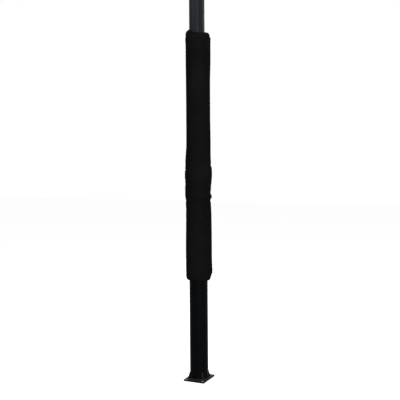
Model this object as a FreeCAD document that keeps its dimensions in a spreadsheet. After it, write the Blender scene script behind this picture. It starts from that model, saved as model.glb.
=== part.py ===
"""Padded telescopic volleyball post: one post of a pair, with a bolt-down foot.

Millimetres, +Z up. The origin is the centre of the floor plate's underside.
The net pulls towards -X. The sleeve closes on the far side, at closure_angle.
"""
import FreeCAD, Part
import math
import os

import Sketcher

V = FreeCAD.Vector
UP = V(0, 0, 1)
ORIGIN = V(0, 0, 0)

# alias, value, what it is
SIZES = [
    ("plate_margin_x", 12, "floor plate past the lower tube, along X"),
    ("plate_margin_y", 27, "floor plate past the lower tube, along Y"),
    ("plate_thick", 8, "floor plate thickness"),
    ("plate_corner", 4, "radius of the plate's corners"),
    ("anchor_hole_dia", 14, "holes for the floor bolts"),
    ("anchor_edge", 12, "hole centre to the plate's edges"),
    ("weld_leg", 5, "leg of the fillet weld round the tube's foot"),
    ("gusset_reach", 15, "how far a gusset stands out from the tube"),
    ("gusset_rise", 42, "height of a gusset above the plate"),
    ("gusset_thick", 6, "gusset thickness"),
    ("gusset_toe", 4, "height of a gusset's outer end"),
    ("gusset_land", 3, "width of a gusset's top"),
    ("gusset_snipe", 6, "corner cut off to clear the weld"),
    ("gusset_angle", 45, "direction of the first gusset"),
    ("lower_wall", 4, "lower tube wall"),
    ("lower_top", 1230, "height of the lower tube's mouth"),
    ("slit_width", 3, "slits that let the mouth close"),
    ("slit_depth", 64, "length of those slits"),
    ("mast_dia", 88.9, "mast tube, outside"),
    ("mast_wall", 3.6, "mast tube wall"),
    ("guide_wall", 5.55, "radial room for the plastic guides between the tubes"),
    ("mast_rise", 1306, "mast above the lower tube's mouth"),
    ("raise_room", 70, "free height between the two guides"),
    ("running_gap", 0.1, "radial play of the sliding guides"),
    ("seat_gap", 0.05, "radial play of pieces fixed on a round face"),
    ("soft_gap", 0.3, "play between foam and metal"),
    ("mouth_bush_length", 90, "mouth bush inside the tube"),
    ("mouth_flange", 5, "thickness of the mouth bush's flange"),
    ("foot_bush_length", 56, "foot bush on the mast"),
    ("foot_lip", 4, "thickness of the foot bush under the mast"),
    ("foot_screw_dia", 6, "screws that hold the foot bush"),
    ("foot_screw_head", 11, "flat round head, set into the bush"),
    ("foot_screw_inset", 1, "screw head below the bush's face"),
    ("foot_screw_reach", 4, "screw end inside the mast's bore"),
    ("foot_screw_height", 28, "screw height above the mast's lower end"),
    ("collar_wall", 8, "clamp collar wall"),
    ("collar_height", 44, "clamp collar height"),
    ("collar_drop", 4, "collar's top below the tube's mouth"),
    ("collar_split", 4, "gap between the collar's lugs"),
    ("lug_thick", 9, "thickness of a lug, along the bolt"),
    ("lug_reach", 13, "how far the lugs stand out from the ring"),
    ("lug_round", 5, "radius of the lugs' outer edges"),
    ("clamp_bolt_dia", 6, "clamp bolt shank"),
    ("clamp_hole_dia", 6.6, "clearance hole in the lugs"),
    ("clamp_bolt_inset", 7.5, "bolt axis inside the lug's outer edge"),
    ("clamp_bolt_pitch", 22, "between the two bolts"),
    ("clamp_head_dia", 10, "socket head"),
    ("clamp_head_tall", 6, "socket head height"),
    ("clamp_key_width", 5, "hexagon key across flats"),
    ("clamp_nut_width", 10, "nut across flats"),
    ("clamp_nut_tall", 5, "nut height"),
    ("clamp_washer_dia", 12, "washer outside"),
    ("clamp_washer_thick", 1.6, "washer thickness"),
    ("clamp_bolt_end", 1, "bolt end past its nut"),
    ("closure_angle", 38, "direction of the sleeve's closure and of the collar's lugs"),
    ("pad_drop", 639, "sleeve below the lower tube's mouth"),
    ("pad_rise", 810, "sleeve above the lower tube's mouth"),
    ("pad_corner", 20, "rounding at both ends of the sleeve"),
    ("pad_shift", 2, "how far the foam sits off the tubes, to the closure side"),
    ("hem_thick", 21.5, "padding over the lower tube, at its lower end"),
    ("shin_thick", 20.5, "padding over the lower tube, halfway"),
    ("fold_thick", 17, "padding over the lower tube, at the fold"),
    ("swell_thick", 20, "padding over the lower tube, beside the collar"),
    ("bulge_thick", 24, "padding over the lower tube, at the collar"),
    ("neck_thick", 24.5, "padding over the mast, above the step"),
    ("chest_thick", 23.8, "padding over the mast, halfway"),
    ("head_thick", 25.5, "padding over the mast, at its upper end"),
    ("shin_drop", 370, "sleeve station below the collar"),
    ("fold_drop", 148, "fold below the collar's middle"),
    ("swell_reach", 57, "swollen part each way from the collar's middle"),
    ("neck_rise", 200, "neck above the collar's middle"),
    ("chest_rise", 440, "upper station above the collar's middle"),
    ("cover_thick", 1.2, "vinyl"),
    ("tape_thick", 1.2, "hook-and-loop tape"),
    ("tape_gap", 0.2, "play on both faces of the tape"),
    ("tape_width", 30, "hook-and-loop tape, as an angle round the sleeve"),
    ("tape_inset", 12, "tape end short of the flap's end"),
    ("flap_thick", 1.5, "closing flap"),
    ("flap_width", 44, "closing flap, as an angle round the sleeve"),
    ("cap_skirt", 24, "mast cap, length inside the tube"),
    ("cap_tall", 14, "mast cap, height above the tube"),
    ("cap_wall", 3, "mast cap, skirt wall"),
    ("cap_rim", 5, "mast cap, upright rim over the tube's end"),
    ("cap_bevel", 4, "mast cap, bevel above the rim"),
    ("cap_shoulder", 14, "mast cap, width of its bevels together"),
    ("eye_drop", 106, "eye bolt below the mast's upper end"),
    ("eye_bolt_dia", 10, "eye bolt wire and shank"),
    ("eye_bore", 28, "inside of the eye"),
    ("eye_shoulder_dia", 18, "shoulder between the eye and its shank"),
    ("eye_shoulder_thick", 5, "shoulder thickness"),
    ("eye_bite", 3, "how deep the eye is forged into the shoulder"),
    ("eye_standoff", 12, "saddle thickness at its middle"),
    ("saddle_dia", 30, "saddle that fits the round mast"),
    ("eye_nut_width", 16, "nut across flats"),
    ("eye_nut_tall", 8, "nut height"),
    ("eye_washer_dia", 21, "washer outside"),
    ("eye_washer_thick", 2, "washer thickness"),
    ("eye_thread_end", 6, "bolt end past its nut"),
    ("ring_wire", 8, "ring wire"),
    ("ring_bore", 50, "inside of the ring"),
]

doc = FreeCAD.newDocument("volleyball_post")
sheet = doc.addObject("Spreadsheet::Sheet", "sizes")
for row, (alias, value, note) in enumerate(SIZES, start=1):
    sheet.set("A%d" % row, note)
    sheet.set("B%d" % row, str(value))
    sheet.setAlias("B%d" % row, alias)
doc.recompute()

# sizes that several pieces share, written once
MAST_R = "(sizes.mast_dia / 2)"
MAST_BORE_R = "(sizes.mast_dia / 2 - sizes.mast_wall)"
LOWER_BORE_R = "(sizes.mast_dia / 2 + sizes.guide_wall)"
LOWER_R = "(sizes.mast_dia / 2 + sizes.guide_wall + sizes.lower_wall)"
HALF_X = "(%s + sizes.plate_margin_x)" % LOWER_R
HALF_Y = "(%s + sizes.plate_margin_y)" % LOWER_R
MAST_FOOT = ("(sizes.lower_top - sizes.mouth_bush_length - sizes.raise_room"
             " - sizes.foot_bush_length)")
MAST_TOP = "(sizes.lower_top + sizes.mast_rise)"
EYE_Z = "(sizes.lower_top + sizes.mast_rise - sizes.eye_drop)"
PAD_BOTTOM = "(sizes.lower_top - sizes.pad_drop)"
PAD_TOP = "(sizes.lower_top + sizes.pad_rise)"
COLLAR_R = "(%s + sizes.collar_wall)" % LOWER_R
COLLAR_TOP = "(sizes.lower_top - sizes.collar_drop)"
COLLAR_MID = "(sizes.lower_top - sizes.collar_drop - sizes.collar_height / 2)"
COLLAR_FOOT = "(sizes.lower_top - sizes.collar_drop - sizes.collar_height)"
LUG_END = "(%s + sizes.lug_reach)" % COLLAR_R
LUG_FACE = "(sizes.collar_split / 2 + sizes.lug_thick)"
BOLT_R = "(%s + sizes.lug_reach - sizes.clamp_bolt_inset)" % COLLAR_R
FASTENER_END = ("(%s + sizes.clamp_washer_thick + sizes.clamp_bolt_end"
                " + max(sizes.clamp_nut_tall; sizes.clamp_head_tall))" % LUG_FACE)
FLANGE_TOP = "(sizes.lower_top + sizes.mouth_flange)"

nodes = {}


def mm(expression):
    """The value of an expression on the sheet."""
    return float(sheet.evalExpression(expression.replace("sizes.", "")))


def keep(piece, label):
    """Register a finished sub-part under the name of its file."""
    piece.Label = label
    nodes[label] = piece
    return piece


def place(piece, z=None, angle=None):
    """Lift a piece to a height and turn it about the post's axis."""
    if angle is not None:
        piece.Placement = FreeCAD.Placement(ORIGIN, FreeCAD.Rotation(UP, 1))
        piece.setExpression("Placement.Rotation.Angle", angle)
    if z is not None:
        piece.setExpression("Placement.Base.z", z)


def new_body(name):
    return doc.addObject("PartDesign::Body", name + "_body")


def origin_part(body, role):
    for feature in body.Origin.OriginFeatures:
        if feature.Role == role:
            return feature
    raise ValueError(role)


def new_sketch(body, name, role="XY_Plane", lift=None):
    sketch = body.newObject("Sketcher::SketchObject", name)
    sketch.AttachmentSupport = [(origin_part(body, role), "")]
    sketch.MapMode = "FlatFace"
    if lift is not None:
        sketch.setExpression("AttachmentOffset.Base.z", lift)
    return sketch


def pin_point(sketch, geometry, vertex, x, y):
    """Tie one sketch point to two expressions, measured from the origin."""
    for kind, axis, value in (("DistanceX", -2, x), ("DistanceY", -1, y)):
        if value == "0":
            sketch.addConstraint(Sketcher.Constraint("PointOnObject", geometry, vertex, axis))
            continue
        rule = Sketcher.Constraint(kind, -1, 1, geometry, vertex, mm(value))
        index = sketch.addConstraint(rule)
        sketch.setExpression("Constraints[%d]" % index, value)


def draw_outline(sketch, points):
    """Closed outline of straight lines through points given as expressions."""
    corners = [V(mm(x), mm(y), 0) for x, y in points]
    count = len(points)
    first = sketch.GeometryCount
    for i in range(count):
        sketch.addGeometry(Part.LineSegment(corners[i], corners[(i + 1) % count]), False)
    for i in range(count):
        following = first + (i + 1) % count
        sketch.addConstraint(Sketcher.Constraint("Coincident", first + i, 2, following, 1))
    for i, (x, y) in enumerate(points):
        pin_point(sketch, first + i, 1, x, y)


def draw_box(sketch, x0, x1, y0, y1):
    draw_outline(sketch, [(x0, y0), (x1, y0), (x1, y1), (x0, y1)])


def draw_circle(sketch, diameter, x="0", y="0"):
    centre = V(mm(x), mm(y), 0)
    index = sketch.addGeometry(Part.Circle(centre, UP, mm(diameter) / 2), False)
    rule = sketch.addConstraint(Sketcher.Constraint("Diameter", index, mm(diameter)))
    sketch.setExpression("Constraints[%d]" % rule, diameter)
    pin_point(sketch, index, 3, x, y)


def pad(body, sketch, length, centred=False):
    feature = body.newObject("PartDesign::Pad", sketch.Name + "_pad")
    feature.Profile = sketch
    feature.setExpression("Length", length)
    feature.Midplane = centred
    return feature


def pocket(body, sketch, length, centred=True):
    """Cut both ways from the sketch, and make sure that it did cut."""
    doc.recompute()
    before = body.Shape.Volume
    feature = body.newObject("PartDesign::Pocket", sketch.Name + "_pocket")
    feature.Profile = sketch
    feature.setExpression("Length", length)
    feature.Midplane = centred
    doc.recompute()
    if body.Shape.Volume >= before - 1e-6:
        raise RuntimeError(feature.Name + " cuts nothing")
    return feature


def turn(body, sketch):
    """Revolve a sketch about the post's axis, which is its vertical axis."""
    feature = body.newObject("PartDesign::Revolution", sketch.Name + "_turn")
    feature.Profile = sketch
    feature.ReferenceAxis = (sketch, ["V_Axis"])
    feature.Angle = 360
    return feature


def repeat_round(body, feature, count):
    """Repeat a feature evenly about the post's axis."""
    pattern = body.newObject("PartDesign::PolarPattern", feature.Name + "_round")
    pattern.Originals = [feature]
    pattern.Axis = (origin_part(body, "Z_Axis"), [""])
    pattern.Angle = 360
    pattern.Occurrences = count
    body.Tip = pattern
    return pattern


def soften(body, name, radius, wanted):
    """Fillet the edges of the body that pass a test."""
    doc.recompute()
    base = body.Tip
    names = []
    for index, edge in enumerate(base.Shape.Edges, start=1):
        if wanted(edge):
            names.append("Edge%d" % index)
    if not names:
        raise RuntimeError(name + " finds no edge")
    fillet = body.newObject("PartDesign::Fillet", name)
    fillet.Base = (base, names)
    fillet.setExpression("Radius", radius)
    return fillet


def cylinder(name, diameter, length, x="0", y="0", z="0", axis=UP):
    """A round bar whose first end is centred on a point and that runs along an axis."""
    bar = doc.addObject("Part::Cylinder", name)
    bar.setExpression("Radius", "(%s) / 2" % diameter)
    bar.setExpression("Height", length)
    bar.Placement = FreeCAD.Placement(ORIGIN, FreeCAD.Rotation(UP, axis))
    for letter, value in (("x", x), ("y", y), ("z", z)):
        bar.setExpression("Placement.Base." + letter, value)
    return bar


def hexagon(name, across_flats, length, x="0", y="0", z="0", axis=UP):
    bar = doc.addObject("Part::Prism", name)
    bar.Polygon = 6
    bar.setExpression("Circumradius", "(%s) / sqrt(3)" % across_flats)
    bar.setExpression("Height", length)
    bar.Placement = FreeCAD.Placement(ORIGIN, FreeCAD.Rotation(UP, axis))
    for letter, value in (("x", x), ("y", y), ("z", z)):
        bar.setExpression("Placement.Base." + letter, value)
    return bar


def cut(name, base, tool):
    result = doc.addObject("Part::Cut", name)
    result.Base = base
    result.Tool = tool
    return result


def fuse(name, pieces):
    result = doc.addObject("Part::MultiFuse", name)
    result.Shapes = pieces
    return result


def group(name, pieces):
    """Identical fasteners: one node, separate solids."""
    result = doc.addObject("Part::Compound", name)
    result.Links = pieces
    return result


# floor plate
def make_base_plate():
    body = new_body("base_plate")
    outline = new_sketch(body, "plate_outline")
    draw_box(outline, "-" + HALF_X, HALF_X, "-" + HALF_Y, HALF_Y)
    pad(body, outline, "sizes.plate_thick")

    def upright(edge):
        ends = [vertex.Point for vertex in edge.Vertexes]
        return len(ends) == 2 and (ends[0] - ends[1]).cross(UP).Length < 1e-6

    soften(body, "plate_corners", "sizes.plate_corner", upright)
    holes = new_sketch(body, "anchor_holes")
    for side_x in ("-", ""):
        for side_y in ("-", ""):
            x = "%s(%s - sizes.anchor_edge)" % (side_x, HALF_X)
            y = "%s(%s - sizes.anchor_edge)" % (side_y, HALF_Y)
            draw_circle(holes, "sizes.anchor_hole_dia", x, y)
    pocket(body, holes, "sizes.plate_thick * 3")
    keep(body, "base_plate")


# weld bead round the tube's foot
def make_base_weld():
    body = new_body("base_weld")
    bead = new_sketch(body, "weld_profile", "XZ_Plane")
    foot = "sizes.plate_thick"
    draw_outline(bead, [
        (LOWER_R, foot),
        (LOWER_R + " + sizes.weld_leg", foot),
        (LOWER_R, foot + " + sizes.weld_leg"),
    ])
    turn(body, bead)
    keep(body, "base_weld")


# four gussets on the plate's diagonals, with the inner corner cut off over the weld
def make_gussets():
    body = new_body("gussets")
    rib = new_sketch(body, "gusset_profile", "XZ_Plane")
    foot = "sizes.plate_thick"
    end = LOWER_R + " + sizes.gusset_reach"
    draw_outline(rib, [
        (LOWER_R, foot + " + sizes.gusset_snipe"),
        (LOWER_R + " + sizes.gusset_snipe", foot),
        (end, foot),
        (end, foot + " + sizes.gusset_toe"),
        (LOWER_R + " + sizes.gusset_land", foot + " + sizes.gusset_rise"),
        (LOWER_R, foot + " + sizes.gusset_rise"),
    ])
    one = pad(body, rib, "sizes.gusset_thick", centred=True)
    doc.recompute()
    repeat_round(body, one, 4)
    place(body, angle="sizes.gusset_angle")
    keep(body, "gussets")


# lower tube with a slit mouth
def make_lower_tube():
    body = new_body("lower_tube")
    wall = new_sketch(body, "tube_wall", "XZ_Plane")
    draw_box(wall, LOWER_BORE_R, LOWER_R, "sizes.plate_thick", "sizes.lower_top")
    turn(body, wall)
    slit = new_sketch(body, "mouth_slit", "XZ_Plane")
    draw_box(slit, MAST_R, LOWER_R + " * 1.1",
             "sizes.lower_top - sizes.slit_depth", "sizes.lower_top + sizes.slit_width")
    one = pocket(body, slit, "sizes.slit_width")
    repeat_round(body, one, 4)
    place(body, angle="sizes.closure_angle")
    keep(body, "lower_tube")


# plastic guide in the mouth, split along its length so that it closes on the mast
def make_mouth_bush():
    body = new_body("mouth_bush")
    profile = new_sketch(body, "mouth_bush_profile", "XZ_Plane")
    bore = MAST_R + " + sizes.running_gap"
    sleeve = LOWER_BORE_R + " - sizes.seat_gap"
    draw_outline(profile, [
        (bore, "sizes.lower_top - sizes.mouth_bush_length"),
        (sleeve, "sizes.lower_top - sizes.mouth_bush_length"),
        (sleeve, "sizes.lower_top"),
        (LOWER_R, "sizes.lower_top"),
        (LOWER_R, FLANGE_TOP),
        (bore, FLANGE_TOP),
    ])
    turn(body, profile)
    split = new_sketch(body, "mouth_bush_split", "XZ_Plane")
    draw_box(split, MAST_BORE_R, LOWER_R + " * 1.1",
             "sizes.lower_top - sizes.mouth_bush_length - sizes.slit_width",
             FLANGE_TOP + " + sizes.slit_width")
    pocket(body, split, "sizes.slit_width")
    place(body, angle="sizes.closure_angle")
    keep(body, "mouth_bush")


# split collar with two lugs, drawn with its lugs along X and turned to the closure
def make_clamp_collar():
    body = new_body("clamp_collar")
    ring = new_sketch(body, "collar_ring")
    draw_circle(ring, "2 * " + COLLAR_R)
    draw_circle(ring, "2 * (%s + sizes.seat_gap)" % LOWER_R)
    pad(body, ring, "sizes.collar_height")
    lugs = new_sketch(body, "collar_lugs")
    draw_box(lugs, LOWER_R + " + sizes.collar_wall / 2", LUG_END, "-" + LUG_FACE, LUG_FACE)
    pad(body, lugs, "sizes.collar_height")
    doc.recompute()
    reach = mm(LUG_END)

    def outer_edge(edge):
        at_end = all(abs(vertex.Point.x - reach) < 1e-6 for vertex in edge.Vertexes)
        return at_end and abs(edge.Length - mm("sizes.collar_height")) < 1e-6

    soften(body, "lug_edges", "sizes.lug_round", outer_edge)
    split = new_sketch(body, "collar_gap")
    draw_box(split, MAST_R, LUG_END + " * 1.1",
             "-sizes.collar_split / 2", "sizes.collar_split / 2")
    pocket(body, split, "sizes.collar_height * 3")
    holes = new_sketch(body, "lug_holes", "XZ_Plane")
    for side in ("-", "+"):
        height = "sizes.collar_height / 2 %s sizes.clamp_bolt_pitch / 2" % side
        draw_circle(holes, "sizes.clamp_hole_dia", BOLT_R, height)
    pocket(body, holes, "4 * " + LUG_FACE)
    place(body, z=COLLAR_FOOT, angle="sizes.closure_angle")
    keep(body, "clamp_collar")


# bolts, washers and nuts that close the collar: drawn along Y, then turned with the lugs
def make_clamp_fasteners():
    bolts = []
    washers = []
    nuts = []
    toward = V(0, 1, 0)
    washer_face = LUG_FACE + " + sizes.clamp_washer_thick"
    nut_end = washer_face + " + sizes.clamp_nut_tall"
    for number, side in enumerate(("-", "+"), start=1):
        tag = "_%d" % number
        height = "%s %s sizes.clamp_bolt_pitch / 2" % (COLLAR_MID, side)
        shank = cylinder("clamp_shank" + tag, "sizes.clamp_bolt_dia",
                         "%s + %s + sizes.clamp_bolt_end" % (washer_face, nut_end),
                         BOLT_R, "-(%s)" % washer_face, height, toward)
        head_end = "-(%s + sizes.clamp_head_tall)" % washer_face
        head = cylinder("clamp_head" + tag, "sizes.clamp_head_dia", "sizes.clamp_head_tall",
                        BOLT_R, head_end, height, toward)
        key = hexagon("clamp_key" + tag, "sizes.clamp_key_width", "sizes.clamp_head_tall / 2",
                      BOLT_R, head_end, height, toward)
        whole = fuse("clamp_bolt_whole" + tag, [shank, head])
        bolts.append(cut("clamp_bolt" + tag, whole, key))
        for end, start in (("a", "-(%s)" % washer_face), ("b", LUG_FACE)):
            disc = cylinder("washer_disc" + tag + end, "sizes.clamp_washer_dia",
                            "sizes.clamp_washer_thick", BOLT_R, start, height, toward)
            hole = cylinder("washer_hole" + tag + end, "sizes.clamp_hole_dia",
                            "sizes.clamp_washer_thick", BOLT_R, start, height, toward)
            washers.append(cut("clamp_washer" + tag + end, disc, hole))
        block = hexagon("nut_block" + tag, "sizes.clamp_nut_width", "sizes.clamp_nut_tall",
                        BOLT_R, washer_face, height, toward)
        thread = cylinder("nut_thread" + tag, "sizes.clamp_bolt_dia + 2 * sizes.seat_gap",
                          "sizes.clamp_nut_tall", BOLT_R, washer_face, height, toward)
        nuts.append(cut("clamp_nut" + tag, block, thread))
    for label, pieces in (("clamp_bolts", bolts), ("clamp_washers", washers), ("clamp_nuts", nuts)):
        piece = group(label, pieces)
        place(piece, angle="sizes.closure_angle")
        keep(piece, label)


# mast with the cross holes for the eye bolt
def make_mast_tube():
    body = new_body("mast_tube")
    wall = new_sketch(body, "mast_wall_profile", "XZ_Plane")
    draw_box(wall, MAST_BORE_R, MAST_R, MAST_FOOT, MAST_TOP)
    turn(body, wall)
    hole = new_sketch(body, "eye_hole", "YZ_Plane")
    draw_circle(hole, "sizes.eye_bolt_dia + 2 * sizes.seat_gap", "0", EYE_Z)
    pocket(body, hole, "sizes.mast_dia * 2")
    screws = new_sketch(body, "foot_screw_hole", "YZ_Plane")
    draw_circle(screws, "sizes.foot_screw_dia + 2 * sizes.seat_gap", "0",
                MAST_FOOT + " + sizes.foot_screw_height")
    pocket(body, screws, "sizes.mast_dia * 2")
    keep(body, "mast_tube")


# plastic guide on the mast's lower end
def make_foot_bush():
    body = new_body("foot_bush")
    profile = new_sketch(body, "foot_bush_profile", "XZ_Plane")
    rim = LOWER_BORE_R + " - sizes.running_gap"
    draw_outline(profile, [
        (MAST_BORE_R, MAST_FOOT + " - sizes.foot_lip"),
        (rim, MAST_FOOT + " - sizes.foot_lip"),
        (rim, MAST_FOOT + " + sizes.foot_bush_length"),
        (MAST_R + " + sizes.seat_gap", MAST_FOOT + " + sizes.foot_bush_length"),
        (MAST_R + " + sizes.seat_gap", MAST_FOOT),
        (MAST_BORE_R, MAST_FOOT),
    ])
    turn(body, profile)
    holes = new_sketch(body, "foot_bush_holes", "YZ_Plane")
    draw_circle(holes, "sizes.foot_screw_head + 2 * sizes.seat_gap", "0",
                MAST_FOOT + " + sizes.foot_screw_height")
    pocket(body, holes, "4 * " + LOWER_R)
    keep(body, "foot_bush")


# two screws, each with a low head inside the bush's wall
def make_foot_screws():
    pieces = []
    height = MAST_FOOT + " + sizes.foot_screw_height"
    seat = "(%s + sizes.seat_gap)" % MAST_R
    head_tall = "(sizes.guide_wall - sizes.foot_screw_inset)"
    for number, side in enumerate((1, -1), start=1):
        tag = "_%d" % number
        sign = "" if side > 0 else "-"
        outward = V(side, 0, 0)
        head = cylinder("screw_head" + tag, "sizes.foot_screw_head", head_tall,
                        sign + seat, "0", height, outward)
        shank = cylinder("screw_shank" + tag, "sizes.foot_screw_dia",
                         "sizes.foot_screw_reach + sizes.mast_wall + sizes.guide_wall / 2",
                         "%s(%s - sizes.foot_screw_reach)" % (sign, MAST_BORE_R),
                         "0", height, outward)
        pieces.append(fuse("foot_screw" + tag, [head, shank]))
    keep(group("foot_screws", pieces), "foot_screws")


def sleeve_stations(inset):
    """Radius and height of the sleeve's side, bottom to top, drawn in by an inset."""
    middle = mm(COLLAR_MID)
    stations = [
        (LOWER_R, "hem_thick", mm(PAD_BOTTOM) + mm("pad_corner")),
        (LOWER_R, "shin_thick", middle - mm("shin_drop")),
        (LOWER_R, "fold_thick", middle - mm("fold_drop")),
        (LOWER_R, "swell_thick", middle - mm("swell_reach")),
        (LOWER_R, "bulge_thick", middle),
        (LOWER_R, "swell_thick", middle + mm("swell_reach")),
        (MAST_R, "neck_thick", middle + mm("neck_rise")),
        (MAST_R, "chest_thick", middle + mm("chest_rise")),
        (MAST_R, "head_thick", mm(PAD_TOP) - mm("pad_corner")),
    ]
    return [V(mm(tube) + mm(padding) - inset, 0, height) for tube, padding, height in stations]


def sleeve_side(inset):
    """The side of the sleeve, bottom to top: a straight run from each station to the next."""
    points = sleeve_stations(inset)
    return [Part.makeLine(lower, upper) for lower, upper in zip(points, points[1:])]


def sleeve_solid(inset):
    """The sleeve with no bore, with rounded ends, about its own centre line."""
    low = sleeve_stations(inset)[0]
    high = sleeve_stations(inset)[-1]
    bend = mm("pad_corner") - inset
    slant = bend * math.sqrt(0.5)
    low_end = V(low.x - bend, 0, low.z - bend)
    low_middle = V(low.x - bend + slant, 0, low.z - slant)
    high_end = V(high.x - bend, 0, high.z + bend)
    high_middle = V(high.x - bend + slant, 0, high.z + slant)
    edges = [
        Part.makeLine(V(0, 0, low_end.z), low_end),
        Part.Arc(low_end, low_middle, low).toShape(),
        *sleeve_side(inset),
        Part.Arc(high, high_middle, high_end).toShape(),
        Part.makeLine(high_end, V(0, 0, high_end.z)),
        Part.makeLine(V(0, 0, high_end.z), V(0, 0, low_end.z)),
    ]
    face = Part.Face(Part.Wire(edges))
    return moved_to_sleeve(face.revolve(ORIGIN, UP, 360))


def moved_to_sleeve(shape):
    """Shift a shape from the post's axis to the sleeve's, towards the closure."""
    angle = math.radians(mm("closure_angle"))
    shift = V(math.cos(angle), math.sin(angle), 0) * mm("pad_shift")
    return shape.translated(shift)


def sleeve_strip(outset, thickness, width, inset_end):
    """A strip along the closure that follows the sleeve's side."""
    low = mm(PAD_BOTTOM) + mm("pad_corner") + inset_end
    high = mm(PAD_TOP) - mm("pad_corner") - inset_end
    inner = sleeve_side(-outset)
    outer = sleeve_side(-outset - thickness)
    ends = []
    for end in (0, -1):
        near = sleeve_stations(-outset)[end]
        far = sleeve_stations(-outset - thickness)[end]
        ends.append(Part.makeLine(near, far))
    face = Part.Face(Part.Wire(Part.__sortEdges__(inner + outer + ends)))
    turned = face.revolve(ORIGIN, UP, width)
    start = mm("closure_angle") - width / 2
    turned.rotate(ORIGIN, UP, start)
    span = 4 * mm(LUG_END)
    window = Part.makeBox(span, span, high - low, V(-span / 2, -span / 2, low))
    return moved_to_sleeve(turned).common(window).Solids[0]


def sleeve_bore():
    """What the foam leaves free: both tubes, the bush's flange, the collar and its lugs."""
    play = mm("soft_gap")
    lower_r = mm(LOWER_R) + play
    mast_r = mm(MAST_R) + play
    collar_r = mm(COLLAR_R) + play
    foot = mm(COLLAR_FOOT) - play
    top = mm(COLLAR_TOP) + play
    mouth = mm(FLANGE_TOP) + play
    low = mm(PAD_BOTTOM) - mm("pad_corner")
    high = mm(PAD_TOP) + mm("pad_corner")
    tool = Part.makeCylinder(lower_r, mouth - low, V(0, 0, low))
    tool = tool.fuse(Part.makeCylinder(mast_r, high - low, V(0, 0, low)))
    tool = tool.fuse(Part.makeCylinder(collar_r, top - foot, V(0, 0, foot)))
    room = [
        (mm(LUG_END) + play, mm(LUG_FACE) + play),
        (mm(BOLT_R) + mm("clamp_washer_dia") / 2 + play, mm(FASTENER_END) + play),
    ]
    for reach, half in room:
        block = Part.makeBox(reach, 2 * half, top - foot, V(0, -half, foot))
        block.rotate(ORIGIN, UP, mm("closure_angle"))
        tool = tool.fuse(block)
    return tool


def add_shape(label, shape):
    piece = doc.addObject("Part::Feature", label)
    piece.Shape = shape
    keep(piece, label)


# foam, vinyl cover and closure: free curves that no sketch pad makes
def make_sleeve():
    skin = mm("cover_thick")
    tape = mm("tape_thick")
    play = mm("tape_gap")
    bore = sleeve_bore()
    inside = sleeve_solid(skin)
    add_shape("pad_foam", inside.cut(bore))
    add_shape("pad_cover", sleeve_solid(0).cut(inside).cut(bore))
    flap_seat = tape + 2 * play
    add_shape("closure_tape", sleeve_strip(play, tape, mm("tape_width"), mm("tape_inset")))
    add_shape("pad_flap", sleeve_strip(flap_seat, mm("flap_thick"), mm("flap_width"), 0))


# bevelled plug in the mast's top
def make_mast_cap():
    body = new_body("mast_cap")
    profile = new_sketch(body, "cap_profile", "XZ_Plane")
    skirt = MAST_BORE_R + " - sizes.seat_gap"
    foot = MAST_TOP + " - sizes.cap_skirt"
    rim = MAST_TOP + " + sizes.cap_rim"
    crown = MAST_TOP + " + sizes.cap_tall"
    draw_outline(profile, [
        (skirt + " - sizes.cap_wall", foot),
        (skirt, foot),
        (skirt, MAST_TOP),
        (MAST_R, MAST_TOP),
        (MAST_R, rim),
        (MAST_R + " - sizes.cap_bevel", rim + " + sizes.cap_bevel"),
        (MAST_R + " - sizes.cap_shoulder", crown),
        ("0", crown),
        ("0", MAST_TOP),
        (skirt + " - sizes.cap_wall", MAST_TOP),
    ])
    turn(body, profile)
    keep(body, "mast_cap")


# eye bolt through the mast at the net's height, its eye on the net side (-X)
EYE_R = "(sizes.eye_bore / 2 + sizes.eye_bolt_dia / 2)"
SADDLE_FACE = "(sizes.mast_dia / 2 + sizes.eye_standoff)"
EYE_X = ("-(%s + sizes.eye_shoulder_thick - sizes.eye_bite + sizes.eye_bore / 2"
         " + sizes.eye_bolt_dia)" % SADDLE_FACE)
NUT_FACE = "(%s + sizes.eye_washer_thick)" % SADDLE_FACE


def torus(name, radius, wire, x, z, axis):
    ring = doc.addObject("Part::Torus", name)
    ring.setExpression("Radius1", radius)
    ring.setExpression("Radius2", "(%s) / 2" % wire)
    ring.Placement = FreeCAD.Placement(ORIGIN, FreeCAD.Rotation(UP, axis))
    ring.setExpression("Placement.Base.x", x)
    ring.setExpression("Placement.Base.z", z)
    return ring


def make_net_eye():
    along = V(1, 0, 0)
    eye = torus("eye_loop", EYE_R, "sizes.eye_bolt_dia", EYE_X, EYE_Z, V(0, 1, 0))
    shoulder = cylinder("eye_shoulder", "sizes.eye_shoulder_dia", "sizes.eye_shoulder_thick",
                        "-(%s + sizes.eye_shoulder_thick)" % SADDLE_FACE, "0", EYE_Z, along)
    length = "%s + %s + sizes.eye_nut_tall + sizes.eye_thread_end" % (SADDLE_FACE, NUT_FACE)
    shank = cylinder("eye_shank", "sizes.eye_bolt_dia", length,
                     "-" + SADDLE_FACE, "0", EYE_Z, along)
    keep(fuse("net_eye", [eye, shoulder, shank]), "net_eye")


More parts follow.
